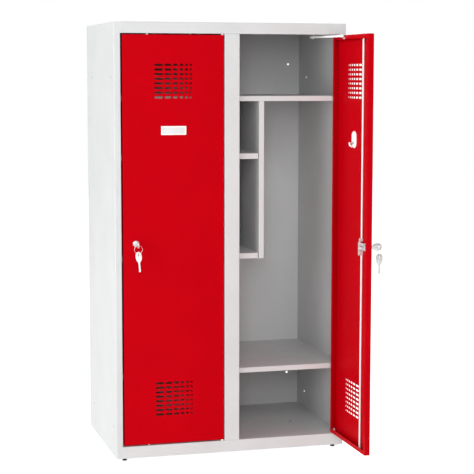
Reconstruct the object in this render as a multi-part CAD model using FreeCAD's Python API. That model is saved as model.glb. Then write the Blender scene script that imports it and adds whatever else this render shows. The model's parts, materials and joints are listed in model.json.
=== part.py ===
import FreeCAD, Part
import math
import os

from FreeCAD import Vector

# A two-door steel school locker: welded cabinet, two identical red doors hinged on their right-hand
# side, each with a key lock that drives a rod into the header and a rod into the base.
# Units are millimetres. X runs across the front, Y from front to back, Z up.
# The origin is on the floor under the middle of the cabinet. The left door is modelled closed and
# the right door is modelled standing open.

# ---------------------------------------------------------------- driving dimensions
WIDTH = 800.0
DEPTH = 515.0
BODY_BOTTOM = 10.0
BODY_TOP = 1465.0
SHEET = 1.0
BEND = 2.0

STILE = 21.5
RETURN_DEPTH = 20.0
POST_HALF = 26.0
HEADER = 37.0
PLINTH = 40.0

DOOR_W = 344.5
DOOR_T = 18.0
DOOR_LIP = 14.0
DOOR_GAP = 4.0
HINGE_GAP = 2.5
PIVOT_INSET = 5.0
OPEN_ANGLE = 90.0

LOCK_FROM_EDGE = 42.5
ROD_FROM_EDGE = 84.5
ROD_R = 3.0
CRANK_R = 10.0

# ---------------------------------------------------------------- derived places
SIDE = WIDTH / 2
FRONT = -DEPTH / 2
REAR = DEPTH / 2
BACK_FACE = REAR - SHEET
INSIDE_BACK = BACK_FACE - SHEET
WALL = SIDE - SHEET
BACK_HALF = SIDE - BEND
DIV = SHEET / 2
FLOOR_TOP = BODY_BOTTOM + PLINTH
HEADER_BOTTOM = BODY_TOP - HEADER
OPENING = SIDE - STILE
UNDER_TOP = BODY_TOP - SHEET

DOOR_BOTTOM = FLOOR_TOP + DOOR_GAP
DOOR_TOP = HEADER_BOTTOM - DOOR_GAP
HINGE_EDGE = PIVOT_INSET
LOCK_EDGE = PIVOT_INSET - DOOR_W
OUTER = -PIVOT_INSET
SHEET_IN = OUTER + SHEET
INNER = OUTER + DOOR_T
LOCK_X = LOCK_EDGE + LOCK_FROM_EDGE
ROD_X = LOCK_EDGE + ROD_FROM_EDGE
ROD_Y = SHEET_IN + ROD_R + 0.5
LOCK_Z = 736.0
MID_X = (LOCK_EDGE + HINGE_EDGE) / 2

PIVOT_Y = FRONT + PIVOT_INSET + 0.5
PIVOT_X = {"left": -POST_HALF - HINGE_GAP - PIVOT_INSET, "right": OPENING - HINGE_GAP - PIVOT_INSET}
REST_ANGLE = {"left": 0.0, "right": OPEN_ANGLE}
SIDES = ("left", "right")

X_AXIS = Vector(1, 0, 0)
Y_AXIS = Vector(0, 1, 0)
Z_AXIS = Vector(0, 0, 1)


# ---------------------------------------------------------------- helpers
def box(x0, x1, y0, y1, z0, z1):
    return Part.makeBox(x1 - x0, y1 - y0, z1 - z0, Vector(x0, y0, z0))


def post(x, y, z0, z1, radius):
    return Part.makeCylinder(radius, z1 - z0, Vector(x, y, z0), Z_AXIS)


def bolt(x, z, y0, y1, radius):
    return Part.makeCylinder(radius, y1 - y0, Vector(x, y0, z), Y_AXIS)


def fuse(shapes):
    if len(shapes) == 1:
        return shapes[0]
    return shapes[0].multiFuse(shapes[1:]).removeSplitter()


def chain(points, radius):
    """Edges along a path of square corners, each corner rounded to the radius."""
    edges = []
    start = points[0]
    for before, corner, after in zip(points, points[1:], points[2:]):
        way_in = (corner - before).normalize()
        way_out = (after - corner).normalize()
        tangent_in = corner - way_in * radius
        tangent_out = corner + way_out * radius
        centre = tangent_in + way_out * radius
        middle = centre + (corner - centre).normalize() * radius
        edges.append(Part.LineSegment(start, tangent_in).toShape())
        edges.append(Part.Arc(tangent_in, middle, tangent_out).toShape())
        start = tangent_out
    edges.append(Part.LineSegment(start, points[-1]).toShape())
    return edges


def folded(points, plane, start, length):
    """A bent sheet: the path is its outer face, and every fold turns left, towards the metal."""
    upright = plane == "xy"
    along = Vector(0, 0, length) if upright else Vector(length, 0, 0)

    def place(a, b):
        return Vector(a, b, start) if upright else Vector(start, a, b)

    headings = []
    for (a0, b0), (a1, b1) in zip(points, points[1:]):
        size = math.hypot(a1 - a0, b1 - b0)
        headings.append(((a1 - a0) / size, (b1 - b0) / size))
    inner = []
    for index, (a, b) in enumerate(points):
        beside = {max(index - 1, 0), min(index, len(headings) - 1)}
        for side in beside:
            heading = headings[side]
            a -= heading[1] * SHEET
            b += heading[0] * SHEET
        inner.append((a, b))
    outer_points = [place(a, b) for a, b in points]
    inner_points = [place(a, b) for a, b in inner]
    edges = chain(outer_points, BEND) + chain(inner_points, BEND - SHEET)
    edges.append(Part.LineSegment(outer_points[0], inner_points[0]).toShape())
    edges.append(Part.LineSegment(outer_points[-1], inner_points[-1]).toShape())
    face = Part.Face(Part.Wire(Part.__sortEdges__(edges)))
    return face.extrude(along)


def obround(centre_x, centre_z, length, height, y0, y1):
    """A round-ended slot through a sheet that faces Y."""
    radius = height / 2
    reach = max(length / 2 - radius, 0.0)
    if reach == 0.0:
        return bolt(centre_x, centre_z, y0, y1, radius)
    ends = [bolt(centre_x + side * reach, centre_z, y0, y1, radius) for side in (-1, 1)]
    middle = box(centre_x - reach, centre_x + reach, y0, y1, centre_z - radius, centre_z + radius)
    return fuse([middle] + ends)


def mirrored(shape):
    return shape.mirror(Vector(0, 0, 0), X_AXIS)


def on_door(shape, side):
    """Takes a shape from the closed door's own frame, with the hinge line at its origin, to rest."""
    placed = shape.copy()
    placed.rotate(Vector(0, 0, 0), Z_AXIS, REST_ANGLE[side])
    placed.translate(Vector(PIVOT_X[side], PIVOT_Y, 0))
    return placed


def save(name, shape):
    if not shape.isValid():
        raise ValueError(name + " is not a valid shape")
    shape.exportStep("parts/" + name + ".step")


# ---------------------------------------------------------------- cabinet shell
JOIN_Y = (-200.0, 170.0)
JOIN_Z = (109.0, 1284.0)
JOIN_R = 4.0
WALL_FIX_X = 356.0
WALL_FIX_Z = (167.5, 1332.0)
WALL_FIX_R = 4.0
ANCHOR_X = 277.0
ANCHOR_Y = -42.0
ANCHOR_R = 7.0
FOOT_X = 370.0
FOOT_Y = 238.0
FOOT_STEM_R = 4.5
FOOT_RETURN = 35.0
PIN_R = 2.25
ROD_HOLE_R = 3.8


def rod_places():
    return [(PIVOT_X[side] + ROD_X, PIVOT_Y + ROD_Y) for side in SIDES]


def pin_places():
    return [(PIVOT_X[side], PIVOT_Y) for side in SIDES]


def side_panel():
    """The left side: rear flange, web, front stile, and behind the door opening the stile's return."""
    rear_flange = 12.0
    lip = 10.5
    plain = [(-SIDE + rear_flange, REAR), (-SIDE, REAR), (-SIDE, FRONT), (-OPENING, FRONT)]
    boxed = plain + [(-OPENING, FRONT + RETURN_DEPTH), (-OPENING - lip, FRONT + RETURN_DEPTH)]
    panel = fuse([
        folded(plain, "xy", BODY_BOTTOM, PLINTH),
        folded(boxed, "xy", FLOOR_TOP, HEADER_BOTTOM - FLOOR_TOP),
        folded(plain, "xy", HEADER_BOTTOM, HEADER),
    ])
    holes = []
    for y in JOIN_Y:
        for z in JOIN_Z:
            holes.append(Part.makeCylinder(JOIN_R, 4 * SHEET, Vector(-SIDE - SHEET, y, z), X_AXIS))
    return panel.cut(Part.makeCompound(holes))


def back_panel():
    """The back sheet, folded forward at the bottom for the rear feet and at the top under the roof."""
    rise = 10.0
    top_flange = 12.0
    path = [
        (BACK_FACE - FOOT_RETURN, BODY_BOTTOM + rise),
        (BACK_FACE - FOOT_RETURN, BODY_BOTTOM),
        (BACK_FACE, BODY_BOTTOM),
        (BACK_FACE, UNDER_TOP),
        (BACK_FACE - top_flange, UNDER_TOP),
    ]
    panel = folded(path, "yz", -BACK_HALF, 2 * BACK_HALF)
    holes = []
    for x in (-WALL_FIX_X, WALL_FIX_X):
        for z in WALL_FIX_Z:
            holes.append(bolt(x, z, INSIDE_BACK - 2, BACK_FACE + 2, WALL_FIX_R))
    for x in (-FOOT_X, FOOT_X):
        holes.append(post(x, FOOT_Y, BODY_BOTTOM - 1, BODY_BOTTOM + 2, FOOT_STEM_R))
    return panel.cut(Part.makeCompound(holes))


def corner_strip(z):
    """The part of a level sheet that fills in beside the front fold, behind the stile's flange."""
    return box(OPENING, WALL, FRONT + BEND, INSIDE_BACK, z, z + SHEET)


def top_panel():
    """Roof sheet and header in one fold, with a return that the hinge pins and lock rods enter."""
    return_depth = 24.0
    rise = 12.0
    path = [
        (BACK_FACE, BODY_TOP),
        (FRONT, BODY_TOP),
        (FRONT, HEADER_BOTTOM),
        (FRONT + return_depth, HEADER_BOTTOM),
        (FRONT + return_depth, HEADER_BOTTOM + rise),
    ]
    strip = corner_strip(UNDER_TOP)
    panel = fuse([folded(path, "yz", -OPENING, 2 * OPENING), strip, mirrored(strip)])
    holes = []
    for x, y in rod_places():
        holes.append(post(x, y, HEADER_BOTTOM - 1, HEADER_BOTTOM + 2, ROD_HOLE_R))
    for x, y in pin_places():
        holes.append(post(x, y, HEADER_BOTTOM - 1, HEADER_BOTTOM + 2, PIN_R))
    return panel.cut(Part.makeCompound(holes))


def base_panel():
    """Floor sheet and plinth in one fold, with a return under it for the front feet."""
    rise = 10.0
    path = [
        (INSIDE_BACK, FLOOR_TOP),
        (FRONT, FLOOR_TOP),
        (FRONT, BODY_BOTTOM),
        (FRONT + FOOT_RETURN, BODY_BOTTOM),
        (FRONT + FOOT_RETURN, BODY_BOTTOM + rise),
    ]
    strip = corner_strip(FLOOR_TOP - SHEET)
    panel = fuse([folded(path, "yz", -OPENING, 2 * OPENING), strip, mirrored(strip)])
    holes = []
    for x, y in rod_places():
        holes.append(post(x, y, FLOOR_TOP - 2, FLOOR_TOP + 1, ROD_HOLE_R))
    for x, y in pin_places():
        holes.append(post(x, y, FLOOR_TOP - 2, FLOOR_TOP + 1, PIN_R))
    for x in (-ANCHOR_X, ANCHOR_X):
        holes.append(post(x, ANCHOR_Y, FLOOR_TOP - 2, FLOOR_TOP + 1, ANCHOR_R))
    for x in (-FOOT_X, FOOT_X):
        holes.append(post(x, -FOOT_Y, BODY_BOTTOM - 1, BODY_BOTTOM + 2, FOOT_STEM_R))
    return panel.cut(Part.makeCompound(holes))


def centre_post():
    lip = 14.0
    rear = FRONT + RETURN_DEPTH
    path = [
        (-POST_HALF + lip, rear),
        (-POST_HALF, rear),
        (-POST_HALF, FRONT),
        (POST_HALF, FRONT),
        (POST_HALF, rear),
        (POST_HALF - lip, rear),
    ]
    return folded(path, "xy", FLOOR_TOP, HEADER_BOTTOM - FLOOR_TOP)


def centre_divider():
    """The sheet between the two bays. Its front flange lies on the post's lips."""
    flange = 20.0
    front = FRONT + RETURN_DEPTH
    path = [(-DIV, INSIDE_BACK), (-DIV, front), (flange, front)]
    sheet = folded(path, "xy", FLOOR_TOP, UNDER_TOP - BEND - FLOOR_TOP)
    header_notch = box(-2, flange + 1, front - 2, front + 6, HEADER_BOTTOM, BODY_TOP)
    return sheet.cut(header_notch)


# ---------------------------------------------------------------- shelves and partitions
SHELF_FRONT = FRONT + 22.0
LIP_RETURN = 10.0
SHELF_FLANGE = 14.0
HAT_SHELF = 1222.0
LOWER_SHELF = 295.0
HAT_LIP = 17.5
LOWER_LIP = 18.0
SMALL_SHELVES = {"middle": 1029.0, "lower": 690.0}
SMALL_LIP = 19.0
PARTITION = 100.0
PARTITION_FACE = 18.0
BAY = {"left": -WALL, "right": DIV}
BAY_W = WALL - DIV


def shelf(x0, x1, top, lip):
    """A shelf sheet with a front lip, a flange down at the back, and a flange down at each end."""
    path = [
        (INSIDE_BACK, top - SHELF_FLANGE),
        (INSIDE_BACK, top),
        (SHELF_FRONT, top),
        (SHELF_FRONT, top - lip),
        (SHELF_FRONT + LIP_RETURN, top - lip),
    ]
    ends = []
    for x in (x0, x1 - SHEET):
        ends.append(box(x, x + SHEET, SHELF_FRONT + LIP_RETURN + 2, INSIDE_BACK - SHEET - 2,
                        top - SHELF_FLANGE, top - SHEET))
    return fuse([folded(path, "yz", x0, x1 - x0)] + ends)


def small_shelf(x0, top):
    """A pigeonhole shelf, relieved at its front corner beside the partition's face."""
    relief = 3.3
    x1 = x0 + PARTITION
    notch = box(x1 - relief, x1 + 1, SHELF_FRONT - 1, SHELF_FRONT + BEND, top - SMALL_LIP - 1, top + 1)
    return shelf(x0, x1, top, SMALL_LIP).cut(notch)


def partition(x0):
    """The upright sheet between the pigeonholes and the hanging space, under the hat shelf."""
    x = x0 + PARTITION
    bottom = SMALL_SHELVES["lower"] - SMALL_LIP
    top = HAT_SHELF - SHEET
    path = [
        (x, INSIDE_BACK - BEND),
        (x, SHELF_FRONT),
        (x + PARTITION_FACE, SHELF_FRONT),
        (x + PARTITION_FACE, SHELF_FRONT + LIP_RETURN),
    ]
    sheet = folded(path, "xy", bottom, top - bottom)
    lip_notch = box(x - 1, x + PARTITION_FACE + 1, SHELF_FRONT - 1, SHELF_FRONT + LIP_RETURN + 1,
                    HAT_SHELF - HAT_LIP, HAT_SHELF)
    return sheet.cut(lip_notch)


# ---------------------------------------------------------------- small parts of the cabinet
STAY_SPAN = 105.0
STAY_OFFSET = 18.5
STAY_RADIUS = math.hypot(STAY_SPAN, STAY_OFFSET)
STAY_GUIDE_ANGLE = math.radians(121.2)
STAY_GUIDE = (STAY_RADIUS * math.cos(STAY_GUIDE_ANGLE), STAY_RADIUS * math.sin(STAY_GUIDE_ANGLE))
STAY_PIN_R = 2.0
STAY_TOP = DOOR_TOP
STAY_H = 6.0
STAY_W = 10.0
MAX_OPEN = 105.0


def levelling_feet():
    """Four push-in plastic feet, wider at the floor."""
    feet = []
    for x in (-FOOT_X, FOOT_X):
        for y in (-FOOT_Y, FOOT_Y):
            cone = Part.makeCone(8.0, 7.0, BODY_BOTTOM, Vector(x, y, 0), Z_AXIS)
            stem = post(x, y, BODY_BOTTOM, BODY_BOTTOM + 8, FOOT_STEM_R)
            feet.append(fuse([cone, stem]))
    return Part.makeCompound(feet)


def hinge_pins():
    """Headed pins that drop from the header and rise from the base into the door's bushes."""
    head_r = 3.4
    head_t = 2.0
    reach = 15.5
    pins = []
    for x, y in pin_places():
        upper = fuse([
            post(x, y, HEADER_BOTTOM - reach, HEADER_BOTTOM + SHEET, PIN_R),
            post(x, y, HEADER_BOTTOM + SHEET, HEADER_BOTTOM + SHEET + head_t, head_r),
        ])
        lower = fuse([
            post(x, y, FLOOR_TOP - SHEET, FLOOR_TOP + reach, PIN_R),
            post(x, y, FLOOR_TOP - SHEET - head_t, FLOOR_TOP - SHEET, head_r),
        ])
        pins += [upper, lower]
    return Part.makeCompound(pins)


def stay_guides():
    """The places of the two fixed pins that the door stays slide on."""
    return [(PIVOT_X[side] + STAY_GUIDE[0], PIVOT_Y + STAY_GUIDE[1]) for side in SIDES]


def stay_brackets():
    """Z brackets under the roof that carry the stay pins."""
    foot_z = HEADER_BOTTOM + 2
    thick = 1.5
    half = 12.0
    brackets = []
    for x, y in stay_guides():
        foot = box(x - half, x + half, y - 8, y + 16, foot_z, foot_z + thick)
        web = box(x - half, x + half, y + 16 - thick, y + 16, foot_z, UNDER_TOP)
        flange = box(x - half, x + half, y + 16 - thick, y + 36, UNDER_TOP - thick, UNDER_TOP)
        hole = post(x, y, foot_z - 1, foot_z + thick + 1, STAY_PIN_R)
        brackets.append(fuse([foot, web, flange]).cut(hole))
    return Part.makeCompound(brackets)


def stay_guide_pins():
    """Headed pins that hang through the slots of the door stays."""
    foot_top = HEADER_BOTTOM + 3.5
    low = STAY_TOP - STAY_H - 1.5
    pins = []
    for x, y in stay_guides():
        pins.append(fuse([
            post(x, y, low, foot_top, STAY_PIN_R),
            post(x, y, low - 1.5, low, 4.0),
            post(x, y, foot_top, foot_top + 1.2, 3.5),
        ]))
    return Part.makeCompound(pins)


# ---------------------------------------------------------------- doors, in the closed door's own frame
VENT_ROWS = 8
VENT_PITCH = 15.2
VENT_TOPS = (1325.0, 260.7)
VENT_X = -231.5
VENT_FIRST = 28.0
VENT_SHRINK = 0.76
VENT_COLUMNS = 6
VENT_GAP = 6.5
VENT_H = 7.0
BUSH_R = 3.3
BUSH_BORE = PIN_R + 0.06
ROD_CLEAR_R = ROD_R + 0.5
BARREL_R = 8.5
BARREL_BORE = 6.56
PLUG_R = 6.5
DRAIN_R = 2.5
DRAIN_Z = (112.0, 1366.0)


def vent_slots():
    """Rows of slots that get shorter from the lock side towards the hinge side."""
    slots = []
    for top in VENT_TOPS:
        for row in range(VENT_ROWS):
            x = VENT_X
            length = VENT_FIRST
            for _ in range(VENT_COLUMNS):
                slots.append(obround(x + length / 2, top - row * VENT_PITCH, max(length, VENT_H),
                                     VENT_H, OUTER - 1, SHEET_IN + 1))
                x += length + VENT_GAP
                length *= VENT_SHRINK
    return slots


def rounded_box(x0, x1, y0, y1, z0, z1, radius):
    """A block with its front edges and its four front-to-back edges rounded."""
    block = box(x0, x1, y0, y1, z0, z1)
    edges = []
    for edge in block.Edges:
        ends = [vertex.Point for vertex in edge.Vertexes]
        if min(end.y for end in ends) < y0 + 0.01:
            edges.append(edge)
    return block.makeFillet(radius, edges)


def door_panel():
    """A pan of sheet steel with lips turned in all round its back."""
    outer = rounded_box(LOCK_EDGE, HINGE_EDGE, OUTER, INNER, DOOR_BOTTOM, DOOR_TOP, BEND)
    hollow = rounded_box(LOCK_EDGE + SHEET, HINGE_EDGE - SHEET, SHEET_IN, INNER - SHEET,
                         DOOR_BOTTOM + SHEET, DOOR_TOP - SHEET, BEND - SHEET)
    window = box(LOCK_EDGE + DOOR_LIP, HINGE_EDGE - DOOR_LIP, INNER - 2 * SHEET, INNER + SHEET,
                 DOOR_BOTTOM + DOOR_LIP, DOOR_TOP - DOOR_LIP)
    pan = outer.cut(hollow).cut(window)
    cuts = vent_slots()
    for z in (DOOR_BOTTOM, DOOR_TOP):
        cuts.append(post(0, 0, z - 2, z + 2, BUSH_R))
        cuts.append(post(ROD_X, ROD_Y, z - 2, z + 2, ROD_CLEAR_R))
    cuts.append(bolt(LOCK_X, LOCK_Z, OUTER - 1, SHEET_IN + 1, BARREL_R))
    for z in DRAIN_Z:
        cuts.append(Part.makeCylinder(DRAIN_R, 4.0, Vector(LOCK_EDGE - 1, 4.0, z), X_AXIS))
    return pan.cut(Part.makeCompound(cuts))


def door_bushes():
    """Flanged bushes in the door's two ends at its hinge side."""
    flange_r = 4.6
    body = 12.0
    upper = fuse([
        post(0, 0, DOOR_TOP - body, DOOR_TOP, BUSH_R),
        post(0, 0, DOOR_TOP, DOOR_TOP + 2.0, flange_r),
    ])
    lower = fuse([
        post(0, 0, DOOR_BOTTOM, DOOR_BOTTOM + body, BUSH_R),
        post(0, 0, DOOR_BOTTOM - 3.6, DOOR_BOTTOM, flange_r),
    ])
    bore = post(0, 0, 0, BODY_TOP, BUSH_BORE)
    return Part.makeCompound([upper.cut(bore), lower.cut(bore)])


LABEL_Z = 1109.3
CARD_W = 82.0
CARD_H = 26.0


def label_holder():
    """A thin frame that holds the name card, open at its right-hand end."""
    rim = 1.5
    cover = 3.0
    half_w = CARD_W / 2 + rim
    half_h = CARD_H / 2 + rim
    block = box(MID_X - half_w, MID_X + half_w, OUTER - 2.2, OUTER, LABEL_Z - half_h, LABEL_Z + half_h)
    slot = box(MID_X - CARD_W / 2, MID_X + half_w + 1, OUTER - 1.4, OUTER - 0.4,
               LABEL_Z - CARD_H / 2, LABEL_Z + CARD_H / 2)
    window = box(MID_X - CARD_W / 2 + cover, MID_X + CARD_W / 2 - cover, OUTER - 3, OUTER - 1,
                 LABEL_Z - CARD_H / 2 + cover, LABEL_Z + CARD_H / 2 - cover)
    return block.cut(slot).cut(window)


def label_card():
    return box(MID_X - CARD_W / 2 + 0.3, MID_X + CARD_W / 2, OUTER - 1.2, OUTER - 0.7,
               LABEL_Z - CARD_H / 2 + 0.2, LABEL_Z + CARD_H / 2 - 0.2)


def lock_barrel():
    """The lock's fixed body: a collar outside the door and a tube through it."""
    collar = bolt(LOCK_X, LOCK_Z, OUTER - 3.5, OUTER, 10.0)
    rim = [edge for edge in collar.Edges if abs(edge.BoundBox.YMax - (OUTER - 3.5)) < 0.01]
    collar = collar.makeChamfer(1.2, rim)
    tube = bolt(LOCK_X, LOCK_Z, OUTER, 1.5, BARREL_R)
    return fuse([collar, tube]).cut(bolt(LOCK_X, LOCK_Z, OUTER - 5, 3, BARREL_BORE))


def lock_nut():
    """The hexagon nut that clamps the lock to the inside of the door."""
    across_corners = 12.0
    points = []
    for step in range(7):
        angle = math.radians(60 * step)
        points.append(Vector(LOCK_X + across_corners * math.cos(angle), SHEET_IN,
                             LOCK_Z + across_corners * math.sin(angle)))
    hexagon = Part.Face(Part.makePolygon(points)).extrude(Vector(0, 2.8, 0))
    return hexagon.cut(bolt(LOCK_X, LOCK_Z, SHEET_IN - 1, 1, BARREL_R))


CAM_FRONT = 2.2
CAM_BACK = CAM_FRONT + 2.0
UPPER_PLANE = 5.0
LOWER_PLANE = 7.8
PLATE_T = 2.0
CRANK_OFFSET = CRANK_R * math.sin(math.radians(45))
CRANK_PIN_R = 2.0
KEYWAY_W = 2.0
KEYWAY_H = 8.4
KEYWAY_END = -1.0


def lock_plug():
    """The turning plug, with a keyway in its face."""
    front = OUTER - 3.8
    plug = bolt(LOCK_X, LOCK_Z, front, CAM_FRONT, PLUG_R)
    keyway = box(LOCK_X - KEYWAY_W / 2, LOCK_X + KEYWAY_W / 2, front - 1, KEYWAY_END,
                 LOCK_Z - KEYWAY_H / 2, LOCK_Z + KEYWAY_H / 2)
    return plug.cut(keyway)


def lock_cam():
    """A disc on the plug's tail, with a pin for each rod on opposite sides."""
    disc = bolt(LOCK_X, LOCK_Z, CAM_FRONT, CAM_BACK, 13.0)
    screw = bolt(LOCK_X, LOCK_Z, CAM_BACK, CAM_BACK + 0.4, 3.0)
    upper_pin = bolt(LOCK_X + CRANK_OFFSET, LOCK_Z - CRANK_OFFSET, CAM_BACK,
                     UPPER_PLANE + PLATE_T + 0.3, CRANK_PIN_R)
    lower_pin = bolt(LOCK_X - CRANK_OFFSET, LOCK_Z + CRANK_OFFSET, CAM_BACK,
                     LOWER_PLANE + PLATE_T + 0.6, CRANK_PIN_R)
    return fuse([disc, screw, upper_pin, lower_pin])


BLOCK_HALF = 5.0
BLOCK_NEAR = 15.0
BLOCK_FAR = {1: 24.0, -1: 31.0}
BAR_HALF = 5.0
SLOT_LENGTH = 8.4
SLOT_HEIGHT = 5.4
SLOT_CENTRE = (CRANK_R + CRANK_OFFSET) / 2
ROD_PROUD = 2.8


def drive_plate(sense):
    """The plate and block that tie a rod to its cam pin. The sense is +1 above and -1 below."""
    plane = UPPER_PLANE if sense > 0 else LOWER_PLANE
    slot_x = LOCK_X + sense * SLOT_CENTRE
    slot_z = LOCK_Z - sense * CRANK_OFFSET
    bar_start = slot_x - (6.5 if sense > 0 else 6.0)
    upright_z = sorted([slot_z - sense * BAR_HALF, LOCK_Z + sense * BLOCK_FAR[sense]])
    block_z = sorted([LOCK_Z + sense * BLOCK_NEAR, LOCK_Z + sense * BLOCK_FAR[sense]])
    bar = box(bar_start, ROD_X + BLOCK_HALF, plane, plane + PLATE_T, slot_z - BAR_HALF, slot_z + BAR_HALF)
    upright = box(ROD_X - BLOCK_HALF, ROD_X + BLOCK_HALF, plane, plane + PLATE_T, *upright_z)
    block = box(ROD_X - BLOCK_HALF, ROD_X + BLOCK_HALF, SHEET_IN + 0.6, plane, *block_z)
    socket_z = sorted([LOCK_Z + sense * (BLOCK_NEAR + 3), LOCK_Z + sense * (BLOCK_FAR[sense] + 1)])
    socket = post(ROD_X, ROD_Y, socket_z[0], socket_z[1], ROD_R)
    slot = obround(slot_x, slot_z, SLOT_LENGTH, SLOT_HEIGHT, plane - 1, plane + PLATE_T + 1)
    return fuse([bar, upright, block]).cut(socket).cut(slot)


def lock_rod(sense):
    """A round rod from its drive block to just beyond the end of the door."""
    near = LOCK_Z + sense * (BLOCK_NEAR + 3)
    far = DOOR_TOP + ROD_PROUD if sense > 0 else DOOR_BOTTOM - ROD_PROUD
    ends = sorted([near, far])
    rod = post(ROD_X, ROD_Y, ends[0], ends[1], ROD_R)
    tip = [edge for edge in rod.Edges if abs(edge.BoundBox.ZMax - far) + abs(edge.BoundBox.ZMin - far) < 0.01]
    return rod.makeChamfer(0.8, tip)


BOW_LENGTH = 34.0
BOW_HALF = 12.5
KEY_T = 1.8
BOW_HOLE_R = 3.4
BOW_HOLE_LENGTH = 11.0
BOW_HOLE_FROM_END = 8.5
BOW_START = OUTER - 16.5
KEY_TIP = KEYWAY_END - 3.5
RING_Y = BOW_START - BOW_LENGTH + BOW_HOLE_FROM_END
RING_R = 13.5
WIRE_R = 0.8
HANG_GAP = 0.45
RING_PIVOT_Z = LOCK_Z - BOW_HOLE_R + WIRE_R + HANG_GAP
SPARE_PIVOT_Z = RING_PIVOT_Z - 2 * RING_R
SPARE_YAW = {"left": 40.0, "right": 8.0}
SPARE_LEAN = {"left": 6.0, "right": 0.0}


def key_shape(shank, blade_half):
    """A key in the YZ plane, blade towards +Y, with the round outer end of its long hole at the origin."""
    end = -BOW_HOLE_FROM_END
    bow = box(-KEY_T / 2, KEY_T / 2, end, end + BOW_LENGTH, -BOW_HALF, BOW_HALF)
    corners = [edge for edge in bow.Edges if edge.BoundBox.XLength > KEY_T - 0.01]
    bow = bow.makeFillet(9.0, corners)
    shoulder = end + BOW_LENGTH
    blade = box(-KEY_T / 2, KEY_T / 2, shoulder - 1, shoulder + shank, -blade_half, blade_half)
    tip = [edge for edge in blade.Edges
           if edge.BoundBox.XLength > KEY_T - 0.01 and edge.BoundBox.YMin > shoulder + shank - 0.01]
    blade = blade.makeChamfer(2.0, tip)
    inner_end = BOW_HOLE_LENGTH - 2 * BOW_HOLE_R
    hole = fuse([
        Part.makeCylinder(BOW_HOLE_R, 4 * KEY_T, Vector(-2 * KEY_T, 0, 0), X_AXIS),
        Part.makeCylinder(BOW_HOLE_R, 4 * KEY_T, Vector(-2 * KEY_T, inner_end, 0), X_AXIS),
        box(-2 * KEY_T, 2 * KEY_T, 0, inner_end, -BOW_HOLE_R, BOW_HOLE_R),
    ])
    return fuse([bow, blade]).cut(hole)


def key_in_lock():
    key = key_shape(KEY_TIP - BOW_START, 4.0)
    key.translate(Vector(LOCK_X, RING_Y, LOCK_Z))
    return key


def key_ring():
    return Part.makeTorus(RING_R, WIRE_R, Vector(LOCK_X, RING_Y, RING_PIVOT_Z - RING_R), Y_AXIS)


def spare_key(side):
    """The second key, hanging blade down from the bottom of the ring."""
    key = key_shape(33.0, 3.6)
    shoulder = BOW_LENGTH - BOW_HOLE_FROM_END
    for start in (8.0, 14.0, 20.0):
        notch = box(-KEY_T, KEY_T, shoulder + start, shoulder + start + 3, 2.2, 4.0)
        key = key.cut(notch)
    key.rotate(Vector(0, 0, 0), X_AXIS, -90.0 - SPARE_LEAN[side])
    key.rotate(Vector(0, 0, 0), Z_AXIS, SPARE_YAW[side])
    key.translate(Vector(LOCK_X, RING_Y, SPARE_PIVOT_Z + WIRE_R + HANG_GAP - BOW_HOLE_R))
    return key


HOOK_Z = 1080.0
HOOK_H = 56.0
HOOK_W = 38.0


def coat_hook():
    """A moulded hook: a rounded back plate with a screw hole, and a prong that turns up."""
    back = SHEET_IN
    thick = 4.0
    z0 = HOOK_Z - HOOK_H / 2
    z1 = HOOK_Z + HOOK_H / 2
    plate = box(MID_X - HOOK_W / 2, MID_X + HOOK_W / 2, back, back + thick, z0, z1)
    uprights = [edge for edge in plate.Edges if edge.BoundBox.YLength > thick - 0.01]
    plate = plate.makeFillet(17.0, uprights)
    face = [edge for edge in plate.Edges if edge.BoundBox.YMin > back + thick - 0.01]
    plate = plate.makeFillet(1.6, face)
    reach = 6.0
    curl = 6.0
    low = z0 + 7.0
    start = Vector(MID_X, back + thick - 1, low)
    bend_in = Vector(MID_X, back + thick + reach, low)
    bend_mid = Vector(MID_X, bend_in.y + curl * math.sin(math.radians(45)),
                      low + curl * (1 - math.cos(math.radians(45))))
    bend_out = Vector(MID_X, bend_in.y + curl, low + curl)
    tip = Vector(MID_X, bend_out.y, low + curl + 5.5)
    path = Part.Wire([
        Part.LineSegment(start, bend_in).toShape(),
        Part.Arc(bend_in, bend_mid, bend_out).toShape(),
        Part.LineSegment(bend_out, tip).toShape(),
    ])
    profile = Part.Wire([Part.makeCircle(3.0, start, Y_AXIS)])
    prong = path.makePipeShell([profile], True, False)
    knob = Part.makeSphere(3.6, tip)
    screw_hole = bolt(MID_X, z0 + 17.0, back - 1, back + thick + 1, 2.5)
    return fuse([plate, prong, knob]).cut(screw_hole)


def stay_lug():
    """An angle on the door's top lip with the stud that the stay turns on."""
    half = 9.0
    thick = 1.2
    level = STAY_TOP - STAY_H - 1.0
    x = -STAY_SPAN
    leg = box(x - half, x + half, INNER, INNER + thick, level - 6.0, level)
    shelf_leg = box(x - half, x + half, INNER, STAY_OFFSET + 5, level - thick, level)
    stud = post(x, STAY_OFFSET, level, STAY_TOP + 0.3, STAY_PIN_R)
    head = post(x, STAY_OFFSET, STAY_TOP + 0.3, STAY_TOP + 1.5, 3.4)
    return fuse([leg, shelf_leg, stud, head])


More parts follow.
